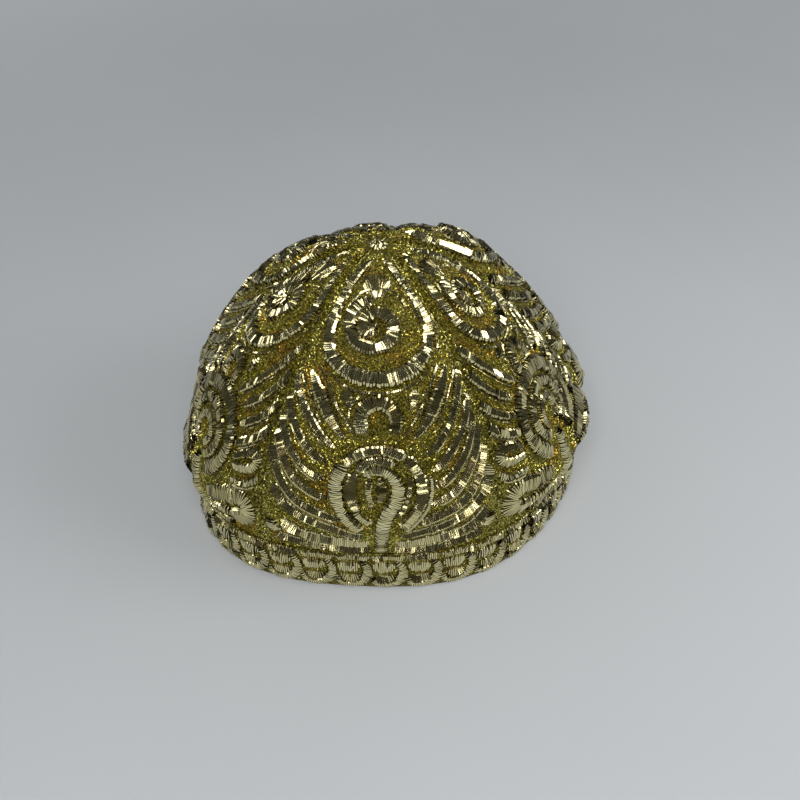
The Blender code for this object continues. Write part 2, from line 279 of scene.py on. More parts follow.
class Drawing:
    """Stitches and ribbons on the flat: satin stitches, and where each ribbon runs."""

    def __init__(self):
        self.stitches = []
        self.tones = []
        self.ribbons = []

    def satin(self, path, width, tone, pitch=0.92, slant=0.0, pad=1.6, leaf=0.0, spread=0.10,
              rough=1.0, roll=0.0, nod=0.0):
        """A padded ribbon of flat satin stitches laid side by side along a path.

        width is one value or one for each of the path's own points; tone is how light its thread
        is, from 0 darkest to 1, or one value at each end; slant leans the stitches forward; pad
        is how high the padding lifts them; leaf is how much it narrows to its ends, 1 for points;
        spread is how much the stitches differ; rough is how unevenly they lie; roll tilts the
        ribbon's top to its right; nod makes each stitch overlap the next like a shingle.
        """
        line, ways = smooth_path(path, pitch)
        count = len(line)
        share = np.linspace(0.0, 1.0, count)
        width = np.atleast_1d(width)
        widths = np.interp(share, np.linspace(0.0, 1.0, len(width)), width)

        # The ribbon's width and height, rounded off at both ends
        ends = 1.0 - leaf + leaf * np.sin(math.pi * np.clip(share, 0.03, 0.97)) ** 0.5
        round_off = np.minimum(share, 1.0 - share) * count * pitch / (0.35 * np.max(widths))
        round_off = np.clip(round_off, 0.0, 1.0)
        widths = 1.1 * widths * ends * (0.45 + 0.55 * np.sqrt(round_off * (2.0 - round_off)))
        plump = pad * (widths / np.max(widths)) ** 0.8 * (0.15 + 0.85 * round_off)

        # Each stitch's own length, direction, tone, rock along the ribbon and twist across it
        lengths = widths * RNG.uniform(0.84, 1.14, count)
        sides = np.stack([-ways[:, 1], ways[:, 0]], -1)
        lean = sides + ways * (slant + RNG.normal(0.0, 0.08, count))[:, None]
        lean = lean / np.linalg.norm(lean, axis=1, keepdims=True)
        tones = np.interp(share, [0.0, 1.0], np.broadcast_to(tone, 2))
        tones = np.clip(tones + RNG.normal(0.0, spread, count), 0.08, 1.0)
        rock = (0.15 * rough * drifting(count) + nod)[:, None, None]
        twist = ((0.17 * rough * drifting(count, 6) + roll) * lengths / 2.0)[:, None, None]

        # The stitches' cross lines, for padding strips painted dark as the shade in the gaps between
        # stitches, and narrower bright strips on top
        u = ACROSS[None, :, None]
        cross = STITCH_LIFT + plump[:, None, None] * ARCH[None, :, None] - 0.4 * (np.abs(u) > 0.95)
        cross = cross + twist * u * (1.0 - u**2)
        middle = line[:, None, None] + lean[:, None, None] * (u * lengths[:, None, None] / 2.0)[..., None]
        for shade_padding in (True, False):
            edges = EDGES * pitch * (SHADE_PADDING_SHARE if shade_padding else STITCH_SHARE)
            flat = middle + ways[:, None, None] * edges[:, None]
            if shade_padding:
                lift = np.broadcast_to(cross - 0.2, flat.shape[:3])
            else:
                lift = cross + rock * edges + RNG.normal(0.03, 0.05, count)[:, None, None]
            self.stitches.append(np.concatenate([flat, lift[..., None]], -1))
            # Padding strips take tone 0, the ramp's darkest colour: painted shade between the stitches
            self.tones.append(np.zeros(count) if shade_padding else tones)
        self.ribbons.append((line, ways, widths))

    def frond(self, path, width, tone, side, hook, **kind):
        """A leaf of wide satin with a fine light cord along its lower edge."""
        line, ways = smooth_path(path, 3.0)
        widths = [width * 0.75, width, width, width * (1.0 + 0.2 * hook), width * (1.0 + 0.5 * hook)]
        self.satin(path, widths, tone, **kind)
        sides = np.stack([-ways[:, 1], ways[:, 0]], -1) * side
        cord = line[1:-1] - sides[1:-1] * (width / 2.0 + 0.9)
        self.satin(cord, 1.3, 0.85, pad=0.8, pitch=0.8, rough=0.6)

    def plume(self, root, tip, reach, width, bend=0.0):
        """A hairpin of long stitches: out along one side of a slot, round its end, and back."""
        root, tip = np.array(root, float), np.array(tip, float)
        way = (tip - root) / np.linalg.norm(tip - root)
        side = np.array([-way[1], way[0]])
        if side[1] < 0.0:
            side = -side
        middle = (root + tip) / 2.0 + np.array([0.0, bend])
        angles = np.radians([60.0, 25.0, -25.0, -60.0])
        rounds = [tip + reach * (side * math.sin(a) + way * math.cos(a)) for a in angles]
        out = [root + side * reach * 0.55, middle + side * reach * 0.95, tip + side * reach * 0.98]
        back = [tip - side * reach * 0.98, middle - side * reach * 0.95, root - side * reach * 0.55]
        widths = width * np.array([0.6, 0.9, 1.0, 1.1, 1.2, 1.2, 1.1, 1.0, 0.9, 0.6])
        self.satin(out + rounds + back, widths, (0.45, 0.85), pad=1.9, rough=0.7,
                   roll=-0.3 * np.sign(tip[0]))

    def all(self):
        """Every stitch as one array, and its tones."""
        return np.concatenate(self.stitches), np.concatenate(self.tones)


def ring(centre, radius, start, end):
    """A path round a centre between two angles in degrees."""
    turn = np.radians(np.linspace(start, end, int((end - start) / 12.0) + 1))
    return np.stack([centre[0] + radius * np.cos(turn), centre[1] + radius * np.sin(turn)], -1)


def spiral(centre, outer, inner, start, turns):
    """A path that winds from an outer to an inner radius."""
    share = np.linspace(0.0, 1.0, int(abs(turns) * 24) + 1)
    radius = outer + (inner - outer) * share
    turn = math.radians(start) + turns * math.tau * share
    return np.stack([centre[0] + radius * np.cos(turn), centre[1] + radius * np.sin(turn)], -1)


def moved(path, across, up):
    """A path moved by a little."""
    return [(x + across, y + up) for x, y in path]


# The fronds of the front gore, as (path, width, hook), and those on one half of the others
FRONT_FRONDS = [
    ([(5.0, 4.8), (19.0, 5.4), (32.0, 6.6), (45.0, 10.4)], 4.8, 0.2),
    ([(6.4, 12.0), (18.0, 15.0), (30.0, 17.6), (41.0, 21.0), (49.0, 26.0)], 5.2, 0.4),
    ([(9.0, 20.0), (18.0, 23.0), (30.0, 26.0), (42.0, 31.0), (50.8, 39.0), (52.6, 46.0)], 4.4, 1.4),
    ([(14.5, 28.4), (24.0, 31.6), (34.5, 35.2), (42.5, 41.4), (48.0, 52.0), (49.6, 57.0)], 4.8, 0.6),
    ([(22.0, 38.6), (30.0, 41.6), (37.5, 47.4), (43.6, 56.6), (47.2, 67.0)], 5.0, 0.6),
    ([(23.2, 46.6), (30.0, 50.6), (36.5, 56.6), (41.8, 65.6), (44.2, 74.0)], 4.8, 0.5),
    ([(22.6, 54.6), (28.4, 59.4), (34.6, 66.0), (40.0, 75.6), (42.0, 83.0)], 4.8, 0.5),
    ([(19.6, 62.2), (25.4, 67.8), (31.0, 75.6), (36.8, 89.0), (38.0, 94.0)], 4.8, 0.4),
    ([(-5.6, 4.6), (-19.0, 5.0), (-33.0, 6.6), (-46.5, 9.0)], 4.8, 0.2),
    ([(-6.0, 12.6), (-18.0, 15.0), (-31.0, 17.4), (-45.0, 22.6)], 5.2, 0.3),
    ([(-8.0, 20.6), (-19.0, 24.0), (-31.0, 28.4), (-42.0, 33.4), (-50.4, 40.6)], 4.8, 0.6),
    ([(-17.0, 30.6), (-27.0, 33.6), (-36.6, 37.4), (-44.4, 44.6), (-49.6, 54.0), (-50.6, 60.0)], 4.6, 1.4),
    ([(-23.0, 42.0), (-31.0, 44.6), (-38.6, 49.0), (-44.8, 58.6), (-48.0, 68.0)], 4.8, 0.6),
    ([(-24.4, 51.0), (-32.0, 53.8), (-38.8, 59.6), (-43.6, 69.0), (-45.0, 76.0)], 4.8, 0.5),
    ([(-23.0, 58.8), (-29.6, 62.8), (-35.8, 69.4), (-40.6, 78.4), (-42.0, 85.0)], 4.8, 0.5),
    ([(-19.6, 65.6), (-25.4, 71.0), (-31.2, 79.0), (-36.8, 90.0), (-38.0, 95.0)], 4.8, 0.4),
]
SIDE_FRONDS = [
    ([(30.6, 51.4), (38.0, 54.2), (46.0, 59.4), (52.6, 69.0)], 6.2),
    ([(28.6, 60.2), (35.6, 63.6), (43.0, 70.0), (48.0, 80.0)], 6.0),
    ([(24.6, 68.6), (31.4, 73.6), (37.4, 81.4), (40.6, 92.0)], 5.8),
    ([(15.6, 73.0), (23.0, 80.0), (29.6, 89.6), (33.6, 103.0)], 5.6),
    ([(35.0, 32.6), (42.0, 32.4), (49.0, 33.6), (54.0, 37.0)], 4.2),
]


def draw_top(d):
    """The upper part, the same on every gore: teardrop, coil, fan, two small leaves and scroll."""
    # The teardrop round the coil, its outer cord, and the fan in its tip
    flanks = [(-2.4, 150.6), (-8.2, 143.0), (-14.2, 132.6), (-18.8, 122.8), (-21.4, 113.4),
              (-20.4, 105.2), (-14.6, 99.0), (-6.0, 95.8), (1.0, 95.2), (8.6, 96.6), (15.6, 100.6),
              (20.6, 107.0), (21.8, 114.4), (18.8, 124.0), (13.4, 133.6), (7.6, 143.0), (3.2, 150.2)]
    widths = [3.0, 3.6, 4.2, 5.2, 6.4, 6.8, 7.2, 7.2, 7.2, 6.8, 6.2, 5.2, 4.2, 3.6, 3.0]
    d.satin(flanks, widths, 0.8, pad=2.2)
    d.satin([(7.6, 150.4), (13.2, 141.6), (19.0, 132.6), (24.0, 123.4), (27.0, 114.6), (26.6, 105.6)],
            1.8, 0.9, pad=1.0, rough=0.7)
    d.satin([(-22.0, 97.6), (-15.4, 92.6), (-8.0, 90.2), (0.0, 89.6), (8.6, 90.6), (16.0, 93.6),
             (22.0, 98.6)], 1.5, 0.85, pad=0.9, rough=0.6)
    d.satin(spiral((-1.4, 117.4), 12.0, 3.8, 96, 1.42), 6.0, 0.75, pad=2.0, rough=1.2)
    d.satin(ring((-2.0, 116.4), 1.5, 20, 340), 3.2, 0.9, pad=1.2)
    d.satin(ring((-0.5, 127.0), 10.0, 60, 120), 12.0, 0.6, pad=0.7, pitch=0.8, rough=0.5)
    d.satin([(-12.0, 127.0), (-8.4, 132.0), (-3.6, 134.8), (3.2, 134.8), (8.0, 132.0), (11.6, 127.0)],
            1.3, 0.8, pad=0.7, rough=0.6)

    # Under it: two small leaves and the scroll
    d.satin([(-12.2, 82.0), (-12.8, 85.6), (-14.0, 89.6)], [1.6, 4.6, 6.4], 0.6, pad=1.3)
    d.satin([(13.2, 82.0), (14.0, 85.6), (15.0, 89.6)], [1.6, 4.6, 6.4], 0.6, pad=1.3)
    d.satin([(-7.0, 72.5), (-7.6, 78.5), (-5.6, 83.5), (-0.6, 85.8), (4.4, 83.8), (6.8, 78.8), (6.2, 73.0)],
            6.4, (0.9, 0.35), pad=2.1)
    d.satin([(-12.4, 73.5), (-12.8, 79.0), (-11.0, 85.0), (-6.0, 89.4)], 1.5, 0.8, pad=0.8)


def draw_front(d):
    """The front gore's lower part: the eye and its stem, the fronds, and a tall leaf on each side."""
    # The eye: a horseshoe, a dark ring, and an inner loop that runs down into the stem
    d.satin([(-8.8, 25.5), (-13.0, 29.8), (-17.2, 36.0), (-19.0, 43.0), (-18.8, 51.0), (-16.2, 57.8)],
            5.8, 0.78, pad=2.1, rough=0.5)
    d.satin([(-15.4, 59.0), (-10.5, 62.9), (-4.0, 65.2), (4.0, 65.2), (10.5, 62.5)], 5.0, 0.7, pad=1.9)
    d.satin([(11.4, 61.8), (15.4, 56.0), (17.6, 48.0), (16.8, 40.2), (13.0, 32.8), (8.6, 27.2)],
            5.4, 0.6, pad=1.8, nod=0.55)
    d.satin([(21.2, 52.0), (21.9, 46.0), (20.4, 38.0), (16.2, 30.2), (10.8, 23.8)], 1.9, 0.85,
            pad=0.9, rough=0.5)
    d.satin([(-10.0, 37.0), (-12.4, 42.0), (-12.6, 49.0), (-10.8, 54.4)], 5.6, 0.6, pad=1.6, nod=-0.65)
    d.satin([(-9.6, 56.2), (-5.5, 59.9), (0.0, 61.0), (5.8, 59.4)], 4.4, 0.8, pad=1.6)
    d.satin([(-11.0, 36.4), (-8.4, 33.0), (-4.4, 30.0)], 4.6, 0.72, pad=1.4)
    d.satin([(-6.8, 54.2), (-3.0, 56.6), (1.5, 56.4), (5.4, 53.4), (7.4, 48.3), (6.6, 43.2),
             (3.6, 37.6), (1.4, 32.0), (0.5, 26.0), (0.0, 20.0), (-0.3, 12.0), (-0.5, 1.6)],
            [4.6, 5.0, 6.4, 6.0, 5.6, 5.6], 0.8, pad=2.1, rough=0.5)
    d.satin([(-4.6, 52.0), (-5.2, 46.0), (-3.8, 39.5)], 3.0, 0.5, pad=1.0)
    d.satin([(-0.6, 53.6), (0.6, 50.0), (0.6, 46.0), (-0.6, 41.0)], 4.8, 0.2, leaf=0.9, pad=1.0)
    d.satin([(12.4, 53.0), (12.0, 46.0), (10.4, 40.0), (7.2, 33.8)], 3.0, 0.5, pad=1.0, nod=0.6)

    # The fronds: leaves of wide satin that fan out from the eye and turn up along the seams
    for path, width, hook in FRONT_FRONDS:
        side = 1.0 if path[-1][0] > 0.0 else -1.0
        # The lower a frond starts, the more it tilts
        low = np.clip(1.0 - path[0][1] / 42.0, 0.0, 1.0) ** 0.6
        d.frond(path, 0.76 * width, RNG.uniform(0.6, 0.8), side, hook, pad=0.34 * width,
                slant=0.2 * side, spread=0.12, roll=-(0.45 + 1.05 * low) * side)
    for sign in (1.0, -1.0):
        tall = [(15.0 * sign, 70.0), (20.0 * sign, 77.0), (25.2 * sign, 86.6), (30.4 * sign, 98.0)]
        d.satin(tall, [3.6, 6.6, 7.4, 5.0], 0.6, pad=1.6, rough=0.5, leaf=0.5)
        d.satin(moved(tall, -5.0 * sign, 1.4), 1.5, 0.9, pad=0.9, rough=0.7)
        d.satin(moved(tall, 5.2 * sign, -1.8)[1:], 1.3, 0.85, pad=0.9, rough=0.7)
        d.satin([(46.0 * sign, 12.6), (49.6 * sign, 14.6), (51.6 * sign, 19.4)], 6.0, 0.8,
                pad=1.6, rough=0.5)


def draw_side(d):
    """Another gore's lower part: an eye of wide rings, its stem, and hairpins, leaves and fronds."""
    d.satin([(-12.0, 29.6), (-19.4, 33.4), (-25.4, 40.6), (-27.2, 49.0), (-24.2, 58.6), (-15.6, 66.2),
             (-4.0, 69.6), (7.0, 69.0), (17.2, 64.4), (24.6, 56.0), (27.0, 47.0), (24.0, 38.6),
             (18.0, 32.8), (11.0, 29.4)], 8.0, (0.7, 0.6), pad=2.4, rough=0.7)
    d.satin([(-8.0, 36.0), (-14.0, 39.4), (-17.6, 45.6), (-17.0, 53.0), (-9.6, 59.4), (0.0, 61.0),
             (9.6, 58.0), (15.8, 52.0), (16.6, 45.4), (13.0, 39.0), (7.0, 35.8)],
            6.0, (0.75, 0.6), pad=2.0)
    d.satin([(-6.4, 40.0), (-9.4, 46.0), (-6.0, 52.0), (0.0, 53.6), (6.4, 50.6), (7.6, 44.0),
             (3.0, 39.6)], 5.0, 0.7, pad=1.6)
    d.satin([(0.6, 33.0), (0.3, 24.0), (0.0, 12.0), (-0.2, 2.0)], 6.0, 0.8, pad=2.0, rough=0.6)
    for sign in (1.0, -1.0):
        d.plume((14.0 * sign, 15.0), (42.4 * sign, 18.6), 5.9, 8.4, bend=-0.4)
        d.plume((33.5 * sign, 42.0), (47.0 * sign, 46.0), 3.9, 5.4)
        d.satin([(6.0 * sign, 5.2), (20.0 * sign, 4.4), (32.0 * sign, 5.0)], 5.0, 0.5, leaf=0.5,
                pad=1.5)
        for path, width in SIDE_FRONDS:
            d.frond([(x * sign, y) for x, y in path], 0.92 * width, RNG.uniform(0.6, 0.8), sign, 0.6,
                    pad=0.36 * width, slant=0.25 * sign, rough=0.9, roll=-0.12 * sign)


def draw_gore(front):
    """The embroidery of the front gore, or of one of the others, at the front gore's size."""
    d = Drawing()
    draw_top(d)
    if front:
        draw_front(d)
    else:
        draw_side(d)
    return d


def draw_cartouche(d, along, width):
    """One of the headband's repeated blocks: a dark head, a light block, a dark leaf and a curl."""
    half = width / 2.0
    lean, high = RNG.uniform(-0.6, 0.6), RNG.uniform(-0.5, 0.5)
    head = [(0.8 - half, 3.0 + high), (lean, 1.9), (half - 0.8, 3.0)]
    block = [(-6.6, 9.0), (lean - 2.0, 8.7 + 0.5 * high), (2.8, 9.2)]
    leaf = [(-5.4, 15.6), (-0.8, 16.4 + 0.5 * high), (3.0, 15.4)]
    curl = [(4.4, 5.8), (6.4, 8.8), (6.8, 13.2), (4.6, 17.6), (-0.6, 20.2), (-6.0, 19.6), (-7.6, 16.4)]
    d.satin(moved(head, along, 0.0), 3.6, 0.6, pad=1.3, roll=0.64, rough=1.7)
    d.satin(moved(block, along, 0.0), [6.6, 7.2, 6.0], 0.85, pad=1.6, rough=0.5, spread=0.06)
    d.satin(moved(leaf, along, 0.0), 4.4, 0.6, leaf=0.7, pad=1.2, roll=0.6, rough=1.6)
    d.satin(moved(curl, along, 0.0), [3.6, 4.2, 4.8, 4.8, 3.8, 3.2, 2.6], 0.82, pad=1.7, rough=0.7,
            slant=RNG.uniform(-0.3, 0.3))


# --- Chain stitches between the ribbons ---

def knots_between(ribbons, candidates):
    """Chain stitches in rows that follow the ribbons: their places and directions."""
    lines = [ribbon[0] for ribbon in ribbons]
    owner = np.concatenate([np.full(len(line), k) for k, line in enumerate(lines)])
    first = np.concatenate([[0], np.cumsum([len(line) for line in lines])[:-1]])
    spots = np.concatenate(lines)
    ways = np.concatenate([ribbon[1] for ribbon in ribbons])
    halves = np.concatenate([ribbon[2] for ribbon in ribbons]) / 2.0
    last = first + np.array([len(line) for line in lines]) - 1
    tree = kdtree.KDTree(len(spots))
    for index, spot in enumerate(spots):
        tree.insert((spot[0], spot[1], 0.0), index)
    tree.balance()
    near = np.array([tree.find((x, y, 0.0))[1] for x, y in candidates])
    away = candidates - spots[near]
    distance = np.linalg.norm(away, axis=1)
    gap = distance - halves[near]
    free = gap > 0.15
    row = np.floor((gap - 0.1) / ROW)
    loose = (near == first[owner[near]]) | (near == last[owner[near]]) | (gap > 3.4)
    side = np.sign(ways[near, 0] * away[:, 1] - ways[near, 1] * away[:, 0])
    normal = np.stack([-ways[near, 1], ways[near, 0]], -1) * side[:, None]
    snapped = spots[near] + normal * (halves[near] + 0.1 + (row + 0.5) * ROW)[:, None]
    place = np.where(loose[:, None], candidates, snapped)
    key = np.round(place / KNOT_SPACING).astype(int)
    key[~free] = -9999
    _, chosen = np.unique(key, axis=0, return_index=True)
    chosen = chosen[free[chosen]]
    return place[chosen], ways[near[chosen]]


def knot_solids(places, ways, size=1.0):
    """Small pointed knots of thread, one at each place: four corners and a top, as drawn points."""
    count = len(places)
    angle = np.arctan2(ways[:, 1], ways[:, 0]) + RNG.normal(0.0, 0.45, count)
    along = np.stack([np.cos(angle), np.sin(angle)], -1)
    beside = np.stack([-along[:, 1], along[:, 0]], -1)
    length = 0.70 * size * RNG.uniform(0.7, 1.3, count)[:, None]
    width = 0.32 * size * RNG.uniform(0.8, 1.3, count)[:, None]
    tilt = RNG.normal(0.0, 0.16, count)
    corners = np.zeros((count, KNOT_CORNERS, 3))
    corners[:, 0, :2] = places + along * length
    corners[:, 1, :2] = places + beside * width
    corners[:, 2, :2] = places - along * length
    corners[:, 3, :2] = places - beside * width
    corners[:, 4, :2] = places + RNG.normal(0.0, 0.14, (count, 2))
    corners[:, 0, 2] = tilt
    corners[:, 2, 2] = -tilt
    corners[:, 1, 2] = -0.05
    corners[:, 3, 2] = -0.05
    corners[:, 4, 2] = RNG.uniform(0.14, 0.42, count)
    return corners


KNOT_FACES = np.array([[0, 1, 4], [1, 2, 4], [2, 3, 4], [3, 0, 4]])
KNOT_CORNERS = 5
STITCH_FACES = np.array([[2 * a, 2 * a + 2, 2 * a + 3, 2 * a + 1] for a in range(len(ACROSS) - 1)])
STITCH_CORNERS = 2 * len(ACROSS)


# --- Meshes and materials ---

def mesh_object(name, points, faces, material, replaces=(), smooth=True, tone=None):
    """A mesh from points in millimetres and faces of one size, riding on the cap's one body."""
    mesh = bpy.data.meshes.new(name)
    points = np.asarray(points, float).reshape(-1, 3) * MM
    faces = np.asarray(faces, np.int32)
    mesh.vertices.add(len(points))
    mesh.vertices.foreach_set("co", points.astype(np.float32).ravel())
    mesh.loops.add(faces.size)
    mesh.loops.foreach_set("vertex_index", faces.ravel())
    mesh.polygons.add(len(faces))
    mesh.polygons.foreach_set("loop_start", np.arange(0, faces.size, faces.shape[1], dtype=np.int32))
    mesh.update(calc_edges=True)
    mesh.polygons.foreach_set("use_smooth", np.full(len(faces), smooth))
    if tone is not None:
        layer = mesh.attributes.new("tone", "FLOAT", "POINT")
        layer.data.foreach_set("value", np.asarray(tone, np.float32))
    mesh.materials.append(material)
    piece = bpy.data.objects.new(name, mesh)
    bpy.context.scene.collection.objects.link(piece)
    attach(piece, "root")
    if replaces:
        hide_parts(*replaces)
    return piece


def instance_faces(faces, count, corners):
    """The faces of many copies of one small solid."""
    return (faces[None] + corners * np.arange(count)[:, None, None]).reshape(-1, faces.shape[1])


def link(tree, source, target):
    """Join two sockets."""
    tree.links.new(source, target)


def ramp_of(tree, stops):
    """A colour ramp with (position, colour) stops."""
    ramp = tree.nodes.new("ShaderNodeValToRGB")
    elements = ramp.color_ramp.elements
    elements[0].position, elements[0].color = stops[0][0], (*stops[0][1], 1.0)
    elements[1].position, elements[1].color = stops[-1][0], (*stops[-1][1], 1.0)
    for position, colour in stops[1:-1]:
        element = elements.new(position)
        element.color = (*colour, 1.0)
    return ramp


def new_material(name):
    """A material with its shader, and a node that gives places on the object."""
    material = bpy.data.materials.new(name)
    material.use_nodes = True
    tree = material.node_tree
    return material, tree, tree.nodes["Principled BSDF"], tree.nodes.new("ShaderNodeTexCoord")


def noise_of(tree, place, scale, detail=2.0):
    """Noise at a scale on the object."""
    noise = tree.nodes.new("ShaderNodeTexNoise")
    noise.inputs["Scale"].default_value = scale
    noise.inputs["Detail"].default_value = detail
    link(tree, place.outputs["Object"], noise.inputs["Vector"])
    return noise.outputs["Fac"]


def ramped(tree, value, stops):
    """The colour that a ramp gives for a value."""
    ramp = ramp_of(tree, stops)
    link(tree, value, ramp.inputs["Fac"])
    return ramp.outputs["Color"]


def multiplied(tree, first, second):
    """The product of two colours."""
    mix = tree.nodes.new("ShaderNodeMix")
    mix.data_type = "RGBA"
    mix.blend_type = "MULTIPLY"
    mix.inputs["Factor"].default_value = 1.0
    link(tree, first, mix.inputs[6])
    link(tree, second, mix.inputs[7])
    return mix.outputs[2]


def add_relief(tree, shader, height, strength, distance):
    """A bump from a height, in metres."""
    relief = tree.nodes.new("ShaderNodeBump")
    relief.inputs["Strength"].default_value = strength
    relief.inputs["Distance"].default_value = distance
    link(tree, height, relief.inputs["Height"])
    link(tree, relief.outputs["Normal"], shader.inputs["Normal"])
    return relief


def thread_material(name, stops, roughness, variation=0.35, tarnish=None):
    """Metal thread: lightness from each stitch's own tone, fine unevenness, and tarnish in patches."""
    material, tree, shader, place = new_material(name)
    tone = tree.nodes.new("ShaderNodeAttribute")
    tone.attribute_name = "tone"
    colour = ramped(tree, tone.outputs["Fac"], stops)
    if tarnish:
        patches = noise_of(tree, place, 70.0, 3.0)
        colour = multiplied(tree, colour, ramped(tree, patches, [(0.53, (1.0, 1.0, 1.0)), (0.66, tarnish)]))
    fine = noise_of(tree, place, 2600.0)
    shade = ramped(tree, fine, [(0.3, (1.0 - variation,) * 3), (0.7, (1.0, 1.0, 1.0))])
    link(tree, multiplied(tree, colour, shade), shader.inputs["Base Color"])
    rough = tree.nodes.new("ShaderNodeMapRange")
    rough.inputs["To Min"].default_value = roughness - 0.07
    rough.inputs["To Max"].default_value = roughness + 0.12
    link(tree, fine, rough.inputs["Value"])
    link(tree, rough.outputs["Result"], shader.inputs["Roughness"])
    shader.inputs["Metallic"].default_value = 1.0
    add_relief(tree, shader, fine, 0.25, 0.0001)
    return material


def cloth_material(name, dark, light, roughness, metallic, scale, bump, weave=None):
    """Cloth: granular, or with ribs that follow one another along an axis, the weave."""
    material, tree, shader, place = new_material(name)
    if weave:
        grain = tree.nodes.new("ShaderNodeTexWave")
        grain.wave_type = "BANDS"
        grain.bands_direction = weave
        grain.inputs["Distortion"].default_value = 0.6
        grain.inputs["Detail"].default_value = 1.0
        value = grain.outputs["Fac"]
    else:
        grain = tree.nodes.new("ShaderNodeTexVoronoi")
        value = grain.outputs["Distance"]
    grain.inputs["Scale"].default_value = scale
    link(tree, place.outputs["Object"], grain.inputs["Vector"])
    link(tree, ramped(tree, value, [(0.05, light), (0.7, dark)]), shader.inputs["Base Color"])
    shader.inputs["Roughness"].default_value = roughness
    shader.inputs["Metallic"].default_value = metallic
    relief = add_relief(tree, shader, value, bump, 0.0004)
    relief.invert = weave is None
    return material


# The satin ramp's first stop, tone 0, colours the padding strips: painted shade in the gaps between
# stitches
SATIN_THREAD = thread_material("gold_satin_thread", [
    (0.0, (0.15, 0.085, 0.025)), (0.06, (0.20, 0.16, 0.06)), (0.35, (0.54, 0.475, 0.215)),
    (0.75, (0.87, 0.785, 0.40)), (1.0, (0.95, 0.89, 0.52))], 0.14, variation=0.2)
CHAIN_THREAD = thread_material("gold_chain_thread", [
    (0.0, (0.11, 0.085, 0.010)), (0.4, (0.51, 0.445, 0.066)), (0.8, (0.82, 0.745, 0.165)),
    (1.0, (0.97, 0.94, 0.46))], 0.20, tarnish=(1.0, 0.70, 0.45))
BRAID_THREAD = thread_material("gold_braid_thread", [
    (0.0, (0.17, 0.14, 0.025)), (0.5, (0.64, 0.575, 0.11)), (1.0, (0.97, 0.92, 0.43))], 0.20)
GROUND_CLOTH = cloth_material(
    "gold_ground_cloth", (0.05, 0.042, 0.006), (0.38, 0.32, 0.050), 0.40, 0.7, 1300.0, 0.9)
LINING_CLOTH = cloth_material(
    "lining_satin_cloth", (0.20, 0.16, 0.09), (0.26, 0.21, 0.12), 0.42, 0.0, 700.0, 0.15, "Z")
CANVAS_CLOTH = cloth_material(
    "stiff_canvas_cloth", (0.50, 0.46, 0.38), (0.66, 0.62, 0.52), 0.9, 0.0, 500.0, 0.4, "X")
GROSGRAIN_CLOTH = cloth_material(
    "grosgrain_cloth", (0.05, 0.045, 0.025), (0.10, 0.09, 0.05), 0.65, 0.0, 420.0, 0.8, "X")


# --- The pieces ---

def sheet_piece(name, grid, place, thickness, material, replaces):
    """A closed sheet of cloth from a grid of places across and up (0 to 1), in millimetres."""
    columns, rows = grid
    across, up = np.meshgrid(np.linspace(0, 1, columns + 1), np.linspace(0, 1, rows + 1), indexing="ij")
    points = place(across.ravel(), up.ravel())
    index = np.arange((columns + 1) * (rows + 1)).reshape(columns + 1, rows + 1)
    faces = np.stack([index[:-1, :-1], index[1:, :-1], index[1:, 1:], index[:-1, 1:]], -1).reshape(-1, 4)
    piece = mesh_object(name, points, faces, material, replaces)
    solid = piece.modifiers.new("cloth", "SOLIDIFY")
    solid.thickness = thickness * MM
    solid.offset = -1.0
    return piece


def gore_place(gore, depth, gap):
    """Where a gore's own cloth lies at a depth below its outer face, a gap short of its seams."""
    left, right, _ = GORES[gore]
    left, right = math.radians(left), math.radians(right)
    low, high = GORE_RISES

    def place(across, up):
        rise = low + (high - low) * up
        edge = crown_point(np.full_like(rise, left), rise)
        margin = gap / np.hypot(edge[:, 0] - AXIS_X, edge[:, 1] - AXIS_Y)
        turn = left + margin + (right - left - 2.0 * margin) * across
        return lifted_point(turn, rise, np.full_like(rise, -depth))

    return place


def ring_place(low, high, depth):
    """Where an upright ring lies, at a depth below the headband's outer face."""
    def place(across, up):
        turn = -math.pi + math.tau * across
        point = lifted_point(turn, np.full_like(turn, BAND_RISE / 2.0), np.full_like(turn, -depth))
        point[:, 2] = low + (high - low) * up
        return point

    return place


def closed_ring(piece):
    """Join a sheet's first and last columns into a ring."""
    weld = piece.modifiers.new("join", "WELD")
    weld.merge_threshold = 0.00002
    piece.modifiers.move(1, 0)


def satin_piece(name, points, tones, replaces=()):
    """Satin stitches: strips of flat metal thread over their padding, which is painted dark as the shade
    between them.
    """
    mesh_object(name, points, instance_faces(STITCH_FACES, len(tones), STITCH_CORNERS), SATIN_THREAD,
                replaces, smooth=False, tone=np.repeat(tones, STITCH_CORNERS))


def knot_piece(name, points, material, usual, spread, replaces=()):
    """Chain stitches: small knots whose tones spread round a usual one."""
    count = points.size // (3 * KNOT_CORNERS)
    tones = np.clip(RNG.normal(usual, spread, count), 0.0, 1.0)
    mesh_object(name, points, instance_faces(KNOT_FACES, count, KNOT_CORNERS), material, replaces,
                smooth=False, tone=np.repeat(tones, KNOT_CORNERS))


